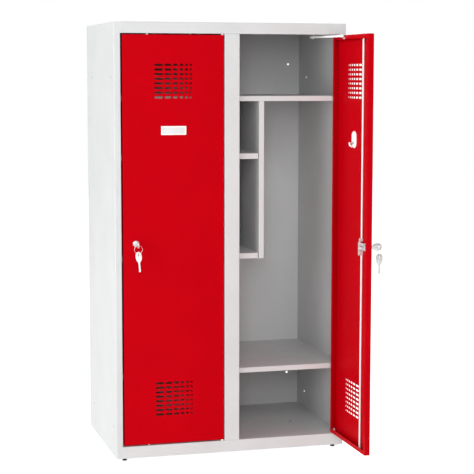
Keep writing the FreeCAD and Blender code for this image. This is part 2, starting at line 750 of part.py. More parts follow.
def door_stay(side):
    """A slotted bar from the door's stud to the fixed pin, drawn at the door's rest angle."""
    door = math.radians(REST_ANGLE[side])
    stud_x = -STAY_SPAN * math.cos(door) - STAY_OFFSET * math.sin(door)
    stud_y = -STAY_SPAN * math.sin(door) + STAY_OFFSET * math.cos(door)
    heading = math.degrees(math.atan2(STAY_GUIDE[1] - stud_y, STAY_GUIDE[0] - stud_x))

    def reach(angle):
        turned = math.radians(angle)
        x = -STAY_SPAN * math.cos(turned) - STAY_OFFSET * math.sin(turned)
        y = -STAY_SPAN * math.sin(turned) + STAY_OFFSET * math.cos(turned)
        return math.hypot(STAY_GUIDE[0] - x, STAY_GUIDE[1] - y)

    near = reach(0.0)
    far = reach(MAX_OPEN)
    half = STAY_W / 2
    slot_half = STAY_PIN_R + 0.4
    low = STAY_TOP - STAY_H
    end = far + 6.0
    bar = fuse([box(0, end, -half, half, low, STAY_TOP), post(0, 0, low, STAY_TOP, half),
                post(end, 0, low, STAY_TOP, half)])
    slot = fuse([box(near, far, -slot_half, slot_half, low - 1, STAY_TOP + 1),
                 post(near, 0, low - 1, STAY_TOP + 1, slot_half),
                 post(far, 0, low - 1, STAY_TOP + 1, slot_half)])
    eye = post(0, 0, low - 1, STAY_TOP + 1, STAY_PIN_R + 0.06)
    bar = bar.cut(slot).cut(eye)
    bar.rotate(Vector(0, 0, 0), Z_AXIS, heading)
    bar.translate(Vector(PIVOT_X[side] + stud_x, PIVOT_Y + stud_y, 0))
    return bar


# ---------------------------------------------------------------- write every sub-part
def save_cabinet():
    left = side_panel()
    save("left_side_panel", left)
    save("right_side_panel", mirrored(left))
    save("back_panel", back_panel())
    save("top_panel", top_panel())
    save("base_panel", base_panel())
    save("centre_post", centre_post())
    save("centre_divider", centre_divider())
    save("levelling_feet", levelling_feet())
    save("hinge_pins", hinge_pins())
    save("stay_brackets", stay_brackets())
    save("stay_guide_pins", stay_guide_pins())
    for side in SIDES:
        x0 = BAY[side]
        save(side + "_hat_shelf", shelf(x0, x0 + BAY_W, HAT_SHELF, HAT_LIP))
        save(side + "_lower_shelf", shelf(x0, x0 + BAY_W, LOWER_SHELF, LOWER_LIP))
        save(side + "_partition", partition(x0))
        for level, top in SMALL_SHELVES.items():
            save(side + "_" + level + "_small_shelf", small_shelf(x0, top))


def save_door(side):
    pieces = {
        "door_panel": door_panel(),
        "door_bushes": door_bushes(),
        "label_holder": label_holder(),
        "label_card": label_card(),
        "lock_barrel": lock_barrel(),
        "lock_nut": lock_nut(),
        "lock_plug": lock_plug(),
        "lock_cam": lock_cam(),
        "key": key_in_lock(),
        "key_ring": key_ring(),
        "spare_key": spare_key(side),
        "upper_rod": lock_rod(1),
        "upper_drive_plate": drive_plate(1),
        "lower_rod": lock_rod(-1),
        "lower_drive_plate": drive_plate(-1),
        "coat_hook": coat_hook(),
        "stay_lug": stay_lug(),
    }
    for name, shape in pieces.items():
        save(side + "_" + name, on_door(shape, side))
    save(side + "_door_stay", door_stay(side))


os.makedirs("parts", exist_ok=True)
save_cabinet()
for door_side in SIDES:
    save_door(door_side)
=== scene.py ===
import json
import math

import bmesh
import bpy
from mathutils import Matrix, Vector
from mathutils.geometry import tessellate_polygon


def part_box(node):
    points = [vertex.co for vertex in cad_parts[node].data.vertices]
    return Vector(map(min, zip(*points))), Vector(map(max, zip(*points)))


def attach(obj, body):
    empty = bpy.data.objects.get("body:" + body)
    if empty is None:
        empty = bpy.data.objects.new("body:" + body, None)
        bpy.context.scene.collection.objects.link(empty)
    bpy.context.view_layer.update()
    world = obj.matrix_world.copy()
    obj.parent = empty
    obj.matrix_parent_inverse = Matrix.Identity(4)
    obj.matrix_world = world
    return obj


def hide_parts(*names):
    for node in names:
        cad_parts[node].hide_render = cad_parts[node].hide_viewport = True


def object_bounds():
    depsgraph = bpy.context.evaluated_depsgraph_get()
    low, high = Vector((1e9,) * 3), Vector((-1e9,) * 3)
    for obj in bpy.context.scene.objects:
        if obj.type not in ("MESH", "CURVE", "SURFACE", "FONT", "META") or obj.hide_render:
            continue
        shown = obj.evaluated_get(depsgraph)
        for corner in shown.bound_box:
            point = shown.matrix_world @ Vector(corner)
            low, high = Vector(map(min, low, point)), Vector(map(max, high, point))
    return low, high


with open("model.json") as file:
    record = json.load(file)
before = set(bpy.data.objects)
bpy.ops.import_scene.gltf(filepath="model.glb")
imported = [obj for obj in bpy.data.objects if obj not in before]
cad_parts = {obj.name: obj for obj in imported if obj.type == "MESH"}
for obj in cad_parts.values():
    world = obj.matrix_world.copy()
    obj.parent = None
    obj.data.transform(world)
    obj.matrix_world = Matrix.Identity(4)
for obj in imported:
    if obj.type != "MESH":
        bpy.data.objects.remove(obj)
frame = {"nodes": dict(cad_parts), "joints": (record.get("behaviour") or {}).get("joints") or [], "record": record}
cad_low, cad_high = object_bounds()
scene = bpy.context.scene
MM = 0.001
REST_TURN = {"left": 0.0, "right": math.radians(90.0)}


# ---------------------------------------------------------------- camera, light and floor
CAMERA_LENS = 112.29
CAMERA_PLACE = (-1.309, -5.0368, 1.2925)
CAMERA_PITCH_DEG = 90.0 - 6.2583
CAMERA_ROLL_DEG = -0.0575
CAMERA_HEADING_DEG = -15.4995
FILL_STRENGTH = 0.41
BACKDROP_STRENGTH = 1.0
FLOOR_HALF = 12.0
FLOOR_DROP = 0.5 * MM
FLOOR_GLOW_UNSEEN, FLOOR_GLOW_SEEN = 0.35, 0.75
# floor colour under the cabinet (painted shadow) and on open floor
FLOOR_SHADE_TONE_UNDER, FLOOR_TONE_OPEN = 0.02, 0.95

# name, place, target, size, watts
LIGHTS = [
    ("left_light", (-5.0, -0.6, 2.7), (0.0, 0.0, 0.9), (2.4, 2.4), 134.0),
    ("low_left_light", (-4.2, -3.2, 1.2), (0.0, 0.0, 0.8), (2.0, 2.0), 50.0),
    ("front_light", (-0.6, -5.5, 3.4), (0.0, 0.0, 0.7), (3.0, 2.0), 77.0),
    ("camera_light", (-1.6, -6.2, 1.9), (0.15, 0.0, 0.75), (1.2, 1.2), 72.0),
    ("back_light", (1.8, 4.5, 2.6), (0.0, 0.0, 0.7), (3.0, 2.0), 25.0),
]


def make_camera():
    data = bpy.data.cameras.new("camera")
    data.lens = CAMERA_LENS
    data.sensor_width = 36.0
    data.clip_end = 100.0
    camera = bpy.data.objects.new("camera", data)
    camera.location = CAMERA_PLACE
    camera.rotation_euler = (math.radians(CAMERA_PITCH_DEG), math.radians(CAMERA_ROLL_DEG),
                             math.radians(CAMERA_HEADING_DEG))
    scene.collection.objects.link(camera)
    scene.camera = camera


def area_light(name, place, target, size, power):
    data = bpy.data.lights.new(name, "AREA")
    data.shape = "RECTANGLE"
    data.size, data.size_y = size
    data.energy = power
    light = bpy.data.objects.new(name, data)
    light.location = place
    light.rotation_euler = (Vector(target) - Vector(place)).to_track_quat("-Z", "Y").to_euler()
    scene.collection.objects.link(light)


def make_world():
    """Soft white fill light, with a brighter white backdrop where the camera sees past the floor."""
    world = bpy.data.worlds.new("studio")
    scene.world = world
    world.use_nodes = True
    nodes, links = world.node_tree.nodes, world.node_tree.links
    nodes.clear()
    output = nodes.new("ShaderNodeOutputWorld")
    mix = nodes.new("ShaderNodeMixShader")
    path = nodes.new("ShaderNodeLightPath")
    fill = nodes.new("ShaderNodeBackground")
    fill.inputs["Strength"].default_value = FILL_STRENGTH
    backdrop = nodes.new("ShaderNodeBackground")
    backdrop.inputs["Strength"].default_value = BACKDROP_STRENGTH
    for node in (fill, backdrop):
        node.inputs["Color"].default_value = (1.0, 1.0, 1.0, 1.0)
    links.new(path.outputs["Is Camera Ray"], mix.inputs["Fac"])
    links.new(fill.outputs["Background"], mix.inputs[1])
    links.new(backdrop.outputs["Background"], mix.inputs[2])
    links.new(mix.outputs["Shader"], output.inputs["Surface"])


def make_floor():
    """A white floor. Seen directly it glows, so that only a faint contact shadow shows on it. Well under the
    cabinet it is painted nearly black and its glow is cut: a painted shadow.
    """
    mesh = bpy.data.meshes.new("floor")
    corners = [(-FLOOR_HALF, -FLOOR_HALF, 0), (FLOOR_HALF, -FLOOR_HALF, 0),
               (FLOOR_HALF, FLOOR_HALF, 0), (-FLOOR_HALF, FLOOR_HALF, 0)]
    mesh.from_pydata(corners, [], [(0, 1, 2, 3)])
    floor = bpy.data.objects.new("floor", mesh)
    floor.location.z = cad_low.z - FLOOR_DROP
    scene.collection.objects.link(floor)
    material = bpy.data.materials.new("floor_white")
    material.use_nodes = True
    mesh.materials.append(material)
    nodes, links = material.node_tree.nodes, material.node_tree.links
    shader = nodes["Principled BSDF"]
    shader.inputs["Roughness"].default_value = 0.9
    shader.inputs["Specular IOR Level"].default_value = 0.1
    shader.inputs["Emission Color"].default_value = (1.0, 1.0, 1.0, 1.0)
    path = nodes.new("ShaderNodeLightPath")
    glow = nodes.new("ShaderNodeMapRange")
    glow.inputs["To Min"].default_value = FLOOR_GLOW_UNSEEN
    glow.inputs["To Max"].default_value = FLOOR_GLOW_SEEN
    links.new(path.outputs["Is Camera Ray"], glow.inputs["Value"])
    open_floor = nodes.new("ShaderNodeMath")
    open_floor.operation = "MULTIPLY"
    links.new(glow.outputs["Result"], open_floor.inputs[0])
    outside = outside_cabinet(nodes, links)
    links.new(outside, open_floor.inputs[1])
    # painted shadow: the floor's colour goes nearly black well under the cabinet
    shade_tone = nodes.new("ShaderNodeMapRange")
    shade_tone.inputs["To Min"].default_value = FLOOR_SHADE_TONE_UNDER
    shade_tone.inputs["To Max"].default_value = FLOOR_TONE_OPEN
    links.new(outside, shade_tone.inputs["Value"])
    links.new(shade_tone.outputs["Result"], shader.inputs["Base Color"])
    links.new(open_floor.outputs["Value"], shader.inputs["Emission Strength"])


def outside_cabinet(nodes, links):
    """1 on open floor and 0 well under the cabinet, where the floor gets a painted shadow, so that the holes in
    its base look dark.
    """
    place = nodes.new("ShaderNodeTexCoord")
    apart = nodes.new("ShaderNodeSeparateXYZ")
    links.new(place.outputs["Object"], apart.inputs["Vector"])
    cabinet = [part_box(name) for name in ("left_side_panel", "right_side_panel")]
    # for each axis: where the cabinet ends, and how far inside that the change starts and stops
    edges = {"X": (max(high.x for low, high in cabinet), 0.05, 0.02),
             "Y": (max(high.y for low, high in cabinet), 0.09, 0.045)}
    masks = []
    for axis, (limit, deep, shallow) in edges.items():
        size = nodes.new("ShaderNodeMath")
        size.operation = "ABSOLUTE"
        links.new(apart.outputs[axis], size.inputs[0])
        ramp = nodes.new("ShaderNodeMapRange")
        ramp.inputs["From Min"].default_value = limit - deep
        ramp.inputs["From Max"].default_value = limit - shallow
        links.new(size.outputs["Value"], ramp.inputs["Value"])
        masks.append(ramp.outputs["Result"])
    either = nodes.new("ShaderNodeMath")
    either.operation = "MAXIMUM"
    for mask, socket in zip(masks, either.inputs):
        links.new(mask, socket)
    return either.outputs["Value"]


scene.view_settings.view_transform = "Standard"
make_camera()
make_world()
make_floor()
for settings in LIGHTS:
    area_light(*settings)


# ---------------------------------------------------------------- materials
NOISE_LOW, NOISE_HIGH = 0.3, 0.7


class Nodes:
    """A short way to build one material's node tree."""

    def __init__(self, name):
        self.material = bpy.data.materials.new(name)
        self.material.use_nodes = True
        self.tree = self.material.node_tree
        self.shader = self.tree.nodes["Principled BSDF"]
        self.place = self.add("ShaderNodeTexCoord").outputs["Object"]

    def add(self, kind, **values):
        node = self.tree.nodes.new(kind)
        for key, value in values.items():
            setattr(node, key, value)
        return node

    def link(self, source, target):
        self.tree.links.new(source, target)

    def noise(self, scale, detail=2.0, stretch=(1.0, 1.0, 1.0)):
        mapping = self.add("ShaderNodeMapping")
        mapping.inputs["Scale"].default_value = stretch
        self.link(self.place, mapping.inputs["Vector"])
        node = self.add("ShaderNodeTexNoise")
        node.inputs["Scale"].default_value = scale
        node.inputs["Detail"].default_value = detail
        self.link(mapping.outputs["Vector"], node.inputs["Vector"])
        return node.outputs["Fac"]

    def ramp(self, source, low, high):
        """Runs source between two colours, with the change spread over the middle of its range."""
        node = self.add("ShaderNodeValToRGB")
        first, last = node.color_ramp.elements
        first.position, last.position = NOISE_LOW, NOISE_HIGH
        first.color = (*low, 1.0)
        last.color = (*high, 1.0)
        self.link(source, node.inputs["Fac"])
        return node.outputs["Color"]

    def span(self, source, low, high):
        """Runs source between two numbers, over the same middle range."""
        node = self.add("ShaderNodeMapRange")
        node.inputs["From Min"].default_value = NOISE_LOW
        node.inputs["From Max"].default_value = NOISE_HIGH
        node.inputs["To Min"].default_value = low
        node.inputs["To Max"].default_value = high
        self.link(source, node.inputs["Value"])
        return node.outputs["Result"]

    def edge_highlight_mask(self, radius):
        """1 on outer corners and folds, 0 on flat sheet; it places the painted edge highlights."""
        bevel = self.add("ShaderNodeBevel", samples=4)
        bevel.inputs["Radius"].default_value = radius
        geometry = self.add("ShaderNodeNewGeometry")
        dot = self.add("ShaderNodeVectorMath", operation="DOT_PRODUCT")
        self.link(bevel.outputs["Normal"], dot.inputs[0])
        self.link(geometry.outputs["Normal"], dot.inputs[1])
        node = self.add("ShaderNodeMapRange")
        node.inputs["From Min"].default_value = 0.98
        node.inputs["From Max"].default_value = 0.80
        self.link(dot.outputs["Value"], node.inputs["Value"])
        return node.outputs["Result"]

    def mix(self, factor, first, second):
        node = self.add("ShaderNodeMix", data_type="RGBA")
        self.link(factor, node.inputs["Factor"])
        self.link(first, node.inputs[6])
        node.inputs[7].default_value = (*second, 1.0)
        return node.outputs[2]

    def bump(self, source, strength, distance):
        node = self.add("ShaderNodeBump")
        node.inputs["Strength"].default_value = strength
        node.inputs["Distance"].default_value = distance
        self.link(source, node.inputs["Height"])
        self.link(node.outputs["Normal"], self.shader.inputs["Normal"])


def scaled(colour, factor):
    return tuple(min(channel * factor, 1.0) for channel in colour)


def powder_coat(name, colour, roughness, specular, peel):
    """Stoved powder paint: fine orange peel, faint clouding, and folds painted lighter as a painted highlight."""
    n = Nodes(name)
    clouds = n.ramp(n.noise(7.0, 3.0), scaled(colour, 0.965), scaled(colour, 1.02))
    edge = n.edge_highlight_mask(0.0012)
    # painted highlight: folds and outer edges 8% lighter
    body = n.mix(edge, clouds, scaled(colour, 1.08))
    n.link(body, n.shader.inputs["Base Color"])
    n.link(n.span(n.noise(90.0), roughness - 0.04, roughness + 0.05), n.shader.inputs["Roughness"])
    n.bump(n.noise(900.0, 1.0), peel, 0.0002)
    n.shader.inputs["Specular IOR Level"].default_value = specular
    return n.material


def plated(name, colour, roughness, metallic, stretch, grain):
    """Bright plated metal with fine drawn lines and a little mottling."""
    n = Nodes(name)
    mottle = n.ramp(n.noise(160.0, 4.0), scaled(colour, 0.86), scaled(colour, 1.05))
    n.link(mottle, n.shader.inputs["Base Color"])
    lines = n.noise(700.0, 2.0, stretch)
    n.link(n.span(lines, roughness - 0.08, roughness + 0.1), n.shader.inputs["Roughness"])
    n.bump(lines, grain, 0.0001)
    n.shader.inputs["Metallic"].default_value = metallic
    return n.material


def moulded(name, colour, roughness, grain):
    """Moulded plastic with a fine spark-eroded grain and edges painted lighter as a painted highlight."""
    n = Nodes(name)
    clouds = n.ramp(n.noise(25.0, 2.0), scaled(colour, 0.97), scaled(colour, 1.01))
    edge = n.edge_highlight_mask(0.0008)
    # painted highlight: edges 5% lighter
    n.link(n.mix(edge, clouds, scaled(colour, 1.05)), n.shader.inputs["Base Color"])
    n.link(n.span(n.noise(300.0), roughness - 0.05, roughness + 0.06), n.shader.inputs["Roughness"])
    n.bump(n.noise(1500.0, 2.0), grain, 0.0001)
    n.shader.inputs["Specular IOR Level"].default_value = 0.35
    return n.material


def paper(name, colour):
    """Card stock: fibres that run mostly one way and a faint mottled tint."""
    n = Nodes(name)
    fibres = n.noise(500.0, 4.0, (0.25, 1.0, 1.0))
    n.link(n.ramp(fibres, scaled(colour, 0.93), scaled(colour, 1.03)), n.shader.inputs["Base Color"])
    n.link(n.span(n.noise(80.0), 0.75, 0.9), n.shader.inputs["Roughness"])
    n.bump(fibres, 0.12, 0.0001)
    n.shader.inputs["Specular IOR Level"].default_value = 0.2
    return n.material


GREY = (0.595, 0.605, 0.605)
RED = (0.475, 0.0, 0.0042)
MATERIALS = {
    "grey_panels": powder_coat("grey_powder", GREY, 0.42, 0.3, 0.10),
    "red_panels": powder_coat("red_powder", RED, 0.40, 0.018, 0.10),
    "white_steel": powder_coat("white_powder", (0.90, 0.90, 0.89), 0.38, 0.3, 0.08),
    "zinc_steel": plated("zinc_plate", (0.80, 0.83, 0.82), 0.42, 0.45, (1.0, 1.0, 0.15), 0.08),
    "nickel": plated("nickel_plate", (0.79, 0.80, 0.79), 0.26, 0.75, (0.2, 1.0, 1.0), 0.05),
    "white_plastic": moulded("white_nylon", (0.93, 0.93, 0.92), 0.45, 0.06),
    "grey_plastic": moulded("holder_plastic", (0.90, 0.90, 0.89), 0.4, 0.05),
    "card": paper("card_stock", (0.68, 0.71, 0.70)),
    "dark_plastic": moulded("foot_plastic", (0.05, 0.05, 0.055), 0.5, 0.1),
}
slot_of = {entry["node"]: entry["material_slot"] for entry in frame["record"]["subparts"]}
for node_name, node in frame["nodes"].items():
    node.data.materials.clear()
    node.data.materials.append(MATERIALS[slot_of[node_name]])


# ---------------------------------------------------------------- mesh helpers
def fill_mesh(name, points, faces):
    mesh = bpy.data.meshes.new(name)
    mesh.from_pydata(points, [], faces)
    mesh.validate()
    return mesh


def rounded_rectangle(width, height, radius, steps=10, clockwise=False):
    """A loop of points. Material lies to the left of the way round, so a hole runs clockwise."""
    points = []
    corners = [(1, 1, 0.0), (-1, 1, 90.0), (-1, -1, 180.0), (1, -1, 270.0)]
    for side_x, side_y, start in corners:
        for step in range(steps + 1):
            angle = math.radians(start + 90.0 * step / steps)
            points.append(Vector((side_x * (width / 2 - radius) + radius * math.cos(angle),
                                  side_y * (height / 2 - radius) + radius * math.sin(angle))))
    return points[::-1] if clockwise else points


def inset(loop, distance):
    """Moves each point of a loop to the left of the way round."""
    moved = []
    for index, point in enumerate(loop):
        arriving = (point - loop[index - 1]).normalized()
        leaving = (loop[(index + 1) % len(loop)] - point).normalized()
        first = Vector((-arriving.y, arriving.x))
        second = Vector((-leaving.y, leaving.x))
        moved.append(point + (first + second) * distance / max(1.0 + first.dot(second), 0.3))
    return moved


def plate(name, loops, low, high, bevel):
    """A flat plate with any number of holes, from z low to z high, every edge rounded over."""
    steps = 3
    rings = []
    for step in range(steps + 1):
        angle = math.radians(90.0 * step / steps)
        rings.append((bevel * (1 - math.sin(angle)), low + bevel * (1 - math.cos(angle))))
    for step in range(steps + 1):
        angle = math.radians(90.0 * step / steps)
        rings.append((bevel * (1 - math.cos(angle)), high - bevel * (1 - math.sin(angle))))
    points, faces, caps = [], [], ([], [])
    for loop in loops:
        starts = []
        for distance, z in rings:
            starts.append(len(points))
            points += [(point.x, point.y, z) for point in inset(loop, distance)]
        for below, above in zip(starts, starts[1:]):
            for step in range(len(loop)):
                after = (step + 1) % len(loop)
                faces.append((below + step, below + after, above + after, above + step))
        caps[0].append((starts[0], len(loop)))
        caps[1].append((starts[-1], len(loop)))
    for flip, cap in enumerate(caps):
        polygons = [[Vector(points[start + step]) for step in range(count)] for start, count in cap]
        order = [start + step for start, count in cap for step in range(count)]
        for triangle in tessellate_polygon(polygons):
            corners = [Vector(points[order[index]]) for index in triangle]
            upward = (corners[1] - corners[0]).cross(corners[2] - corners[0]).z > 0
            face = [order[index] for index in triangle]
            faces.append(tuple(face if upward == bool(flip) else face[::-1]))
    return fill_mesh(name, points, faces)


def lathe(name, profile, steps=48, closed=False):
    """Turns a profile of (radius, z) about Z. A radius of zero closes an end to one point."""
    points, faces, rows = [], [], []
    for radius, z in profile:
        if radius <= 0.0:
            rows.append([len(points)] * steps)
            points.append((0.0, 0.0, z))
            continue
        rows.append(list(range(len(points), len(points) + steps)))
        for step in range(steps):
            angle = 2.0 * math.pi * step / steps
            points.append((radius * math.cos(angle), radius * math.sin(angle), z))
    pairs = list(zip(rows, rows[1:]))
    if closed:
        pairs.append((rows[-1], rows[0]))
    for below, above in pairs:
        for step in range(steps):
            after = (step + 1) % steps
            corners = [below[step], below[after], above[after], above[step]]
            face = [corner for index, corner in enumerate(corners) if corner not in corners[:index]]
            if len(face) > 2:
                faces.append(tuple(face))
    return fill_mesh(name, points, faces)


def tube_faces(rows, count):
    """Faces of a closed solid made of rings of points, with both end rings capped."""
    faces = []
    for row in range(rows - 1):
        for step in range(count):
            after = (step + 1) % count
            faces.append((row * count + step, row * count + after,
                          (row + 1) * count + after, (row + 1) * count + step))
    faces.append(tuple(reversed(range(count))))
    faces.append(tuple(range((rows - 1) * count, rows * count)))
    return faces


def sweep(name, path, sizes, up, sides=16):
    """An oval bar along a path; sizes are its (half width, half height) at each point."""
    points = []
    for index, place in enumerate(path):
        before = path[max(index - 1, 0)]
        after = path[min(index + 1, len(path) - 1)]
        along = (after - before).normalized()
        across = along.cross(up).normalized()
        lift = across.cross(along).normalized()
        half_width, half_height = sizes[index]
        for step in range(sides):
            angle = 2.0 * math.pi * step / sides
            points.append(place + across * half_width * math.cos(angle)
                          + lift * half_height * math.sin(angle))
    return fill_mesh(name, points, tube_faces(len(path), sides))


def joined(name, meshes):
    """One mesh from several closed ones."""
    work = bmesh.new()
    for mesh in meshes:
        work.from_mesh(mesh)
    result = bpy.data.meshes.new(name)
    bmesh.ops.recalc_face_normals(work, faces=work.faces)
    work.to_mesh(result)
    work.free()
    return result


def cut(mesh, cutter):
    """The first mesh less the second."""
    body = bpy.data.objects.new("cut_body", mesh)
    tool = bpy.data.objects.new("cut_tool", cutter)
    for item in (body, tool):
        scene.collection.objects.link(item)
    modifier = body.modifiers.new("cut", "BOOLEAN")
    modifier.object = tool
    modifier.operation = "DIFFERENCE"
    modifier.solver = "EXACT"
    graph = bpy.context.evaluated_depsgraph_get()
    result = bpy.data.meshes.new_from_object(body.evaluated_get(graph))
    for item in (body, tool):
        bpy.data.objects.remove(item)
    return result


def piece(name, mesh, matrix, slot, body, replaced=(), smooth=40.0):
    """Places a finished mesh, paints it, and makes it ride on its body."""
    mesh.name = name
    mesh.materials.clear()
    mesh.materials.append(MATERIALS[slot])
    mesh.transform(matrix)
    mesh.polygons.foreach_set("use_smooth", [True] * len(mesh.polygons))
    mesh.set_sharp_from_angle(angle=math.radians(smooth))
    item = bpy.data.objects.new(name, mesh)
    scene.collection.objects.link(item)
    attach(item, body)
    if replaced:
        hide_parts(*replaced)


# ---------------------------------------------------------------- places on the doors
joint_at = {joint["name"]: Vector(joint["pos_m"]) for joint in frame["joints"] if "pos_m" in joint}
OUTWARD = Matrix.Rotation(math.radians(90.0), 4, "X")
INWARD = Matrix.Rotation(math.radians(-90.0), 4, "X")


def door_frame(side):
    """From the closed door's own frame, with the hinge line at its origin, to the model at rest."""
    pivot = joint_at[side + "_door_hinge"]
    return Matrix.Translation((pivot.x, pivot.y, 0.0)) @ Matrix.Rotation(REST_TURN[side], 4, "Z")


def door_box(side, name):
    """The box of a door's CAD node in the closed door's own frame."""
    low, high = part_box(side + "_" + name)
    inverse = door_frame(side).inverted()
    corners = [inverse @ Vector((x, y, z)) for x in (low[0], high[0]) for y in (low[1], high[1])
               for z in (low[2], high[2])]
    return (Vector([min(corner[axis] for corner in corners) for axis in range(3)]),
            Vector([max(corner[axis] for corner in corners) for axis in range(3)]))


def at(side, x, y, z, turn):
    """A place and turn in the closed door's own frame, carried to the model at rest."""
    return door_frame(side) @ Matrix.Translation((x, y, z)) @ turn


# ---------------------------------------------------------------- label holder and card
def make_label(side):
    low, high = door_box(side, "label_holder")
    x, z = (low.x + high.x) / 2, (low.z + high.z) / 2
    width, height, depth = high.x - low.x, high.z - low.z, high.y - low.y
    border, wall, back_end, front_start = 4.0 * MM, 1.3 * MM, 0.4 * MM, depth - 0.8 * MM
    outer = rounded_rectangle(width, height, 1.6 * MM)
    window = rounded_rectangle(width - 2 * border, height - 2 * border, 1.0 * MM, clockwise=True)
    pocket = rounded_rectangle(width - 2 * wall, height - 2 * wall, 0.8 * MM, clockwise=True)
    back = plate("back", [outer], 0.0, back_end, 0.1 * MM)
    rim = plate("rim", [outer, pocket], back_end, front_start, 0.05 * MM)
    front = plate("front", [outer, window], front_start, depth, 0.35 * MM)
    holder = joined("holder", [back, rim, front])
    piece(side + "_label_frame", holder, at(side, x, high.y, z, OUTWARD), "grey_plastic",
          side + "_door", [side + "_label_holder"])
    card_low, card_high = door_box(side, "label_card")
    card_width = card_high.x - card_low.x - 1.4 * MM
    card_height = card_high.z - card_low.z - 0.4 * MM
    half = 0.22 * MM
    outline = rounded_rectangle(card_width, card_height, 0.8 * MM)
    sheet = plate("card", [outline], -half, half, 0.06 * MM)
    card_y = (card_low.y + card_high.y) / 2
    piece(side + "_name_card", sheet, at(side, x - 0.1 * MM, card_y, z, OUTWARD), "card",
          side + "_door", [side + "_label_card"])


# ---------------------------------------------------------------- lock, keys and ring
def make_barrel(side):
    """The lock's threaded tube and round collar, turned from one profile."""
    low, high = door_box(side, "lock_barrel")
    x, z = (low.x + high.x) / 2, (low.z + high.z) / 2
    nose = high.y - low.y
    bore, tube, collar = 6.56 * MM, 8.5 * MM, (high.x - low.x) / 2
    shoulder = nose - 3.5 * MM
    profile = [(bore, 0.0), (tube - 0.3 * MM, 0.0)]
    pitch, thread_depth = 0.9 * MM, 0.35 * MM
    for turn in range(int(shoulder / pitch) - 1):
        profile += [(tube, (turn + 0.5) * pitch), (tube - thread_depth, (turn + 1.0) * pitch)]
    profile += [
        (tube - 0.3 * MM, shoulder), (collar - 0.3 * MM, shoulder), (collar, shoulder + 0.3 * MM),
        (collar, shoulder + 1.6 * MM), (collar - 0.25 * MM, shoulder + 2.3 * MM),
        (collar - 0.9 * MM, shoulder + 2.9 * MM), (collar - 1.6 * MM, nose - 0.3 * MM),
        (collar - 2.0 * MM, nose - 0.3 * MM), (collar - 2.3 * MM, nose - 0.6 * MM),
        (collar - 2.6 * MM, nose - 0.6 * MM), (bore + 0.4 * MM, nose - 0.1 * MM),
        (bore, nose - 0.4 * MM),
    ]
    mesh = joined("barrel", [lathe("barrel", profile, 56, closed=True)])
    piece(side + "_lock_body", mesh, at(side, x, high.y, z, OUTWARD), "nickel",
          side + "_door", [side + "_lock_barrel"], smooth=35.0)


# place along the blade and depth of each cut in the spare key
KEY_CUTS = [(8.6 * MM, 0.9 * MM), (12.4 * MM, 1.5 * MM), (16.2 * MM, 0.6 * MM),
            (20.0 * MM, 1.3 * MM), (23.8 * MM, 0.9 * MM)]
BOW_LENGTH = 34.0 * MM
BOW_HALF = 12.5 * MM
BOW_SQUARENESS = 2.7
HOLE_R = 3.4 * MM
HOLE_LENGTH = 11.0 * MM
HOLE_INSET = 8.5 * MM
LOCK_BLADE_HALF = 4.0 * MM
SPARE_BLADE_HALF = 3.6 * MM
SPARE_SHANK = 33.0 * MM
HANG_OFFSET = HOLE_R - 1.25 * MM
SPARE_YAW = {"left": math.radians(40.0), "right": math.radians(8.0)}
SPARE_LEAN = {"left": math.radians(6.0), "right": 0.0}


def oblong(start, end, radius, steps=12):
    """A round-ended slot along X from one centre to the other, clockwise."""
    points = []
    for centre, first in ((start, 90.0), (end, 270.0)):
        for step in range(steps + 1):
            angle = math.radians(first + 180.0 * step / steps)
            points.append(Vector((centre + radius * math.cos(angle), radius * math.sin(angle))))
    return points[::-1]


def bow_outline(steps=72):
    """A rounded square that narrows towards the blade."""
    middle = Vector((BOW_LENGTH / 2 - HOLE_INSET, 0.0))
    outline = []
    for step in range(steps):
        angle = 2.0 * math.pi * step / steps
        across, up = math.cos(angle), math.sin(angle)
        reach = (abs(across) ** BOW_SQUARENESS + abs(up) ** BOW_SQUARENESS) ** (-1.0 / BOW_SQUARENESS)
        waist = 1.0 - 0.22 * max(across, 0.0) ** 2
        outline.append(middle + Vector((BOW_LENGTH / 2 * reach * across,
                                        BOW_HALF * reach * up * waist)))
    return outline


def key_bow(half):
    """The bow's raised rim, the raised collar round its long hole and the thinner web between."""
    outline = bow_outline()
    hole = oblong(0.0, HOLE_LENGTH - 2 * HOLE_R, HOLE_R)
    web_half = half - 0.3 * MM
    rim = plate("rim", [outline, inset(outline, 2.4 * MM)[::-1]], -half, half, 0.25 * MM)
    collar = plate("collar", [inset(hole, -1.3 * MM)[::-1], hole], -half, half, 0.2 * MM)
    web_loops = [inset(outline, 2.2 * MM), inset(hole, -1.1 * MM)]
    web = plate("web", web_loops, -web_half, web_half, 0.05 * MM)
    return [rim, collar, web]


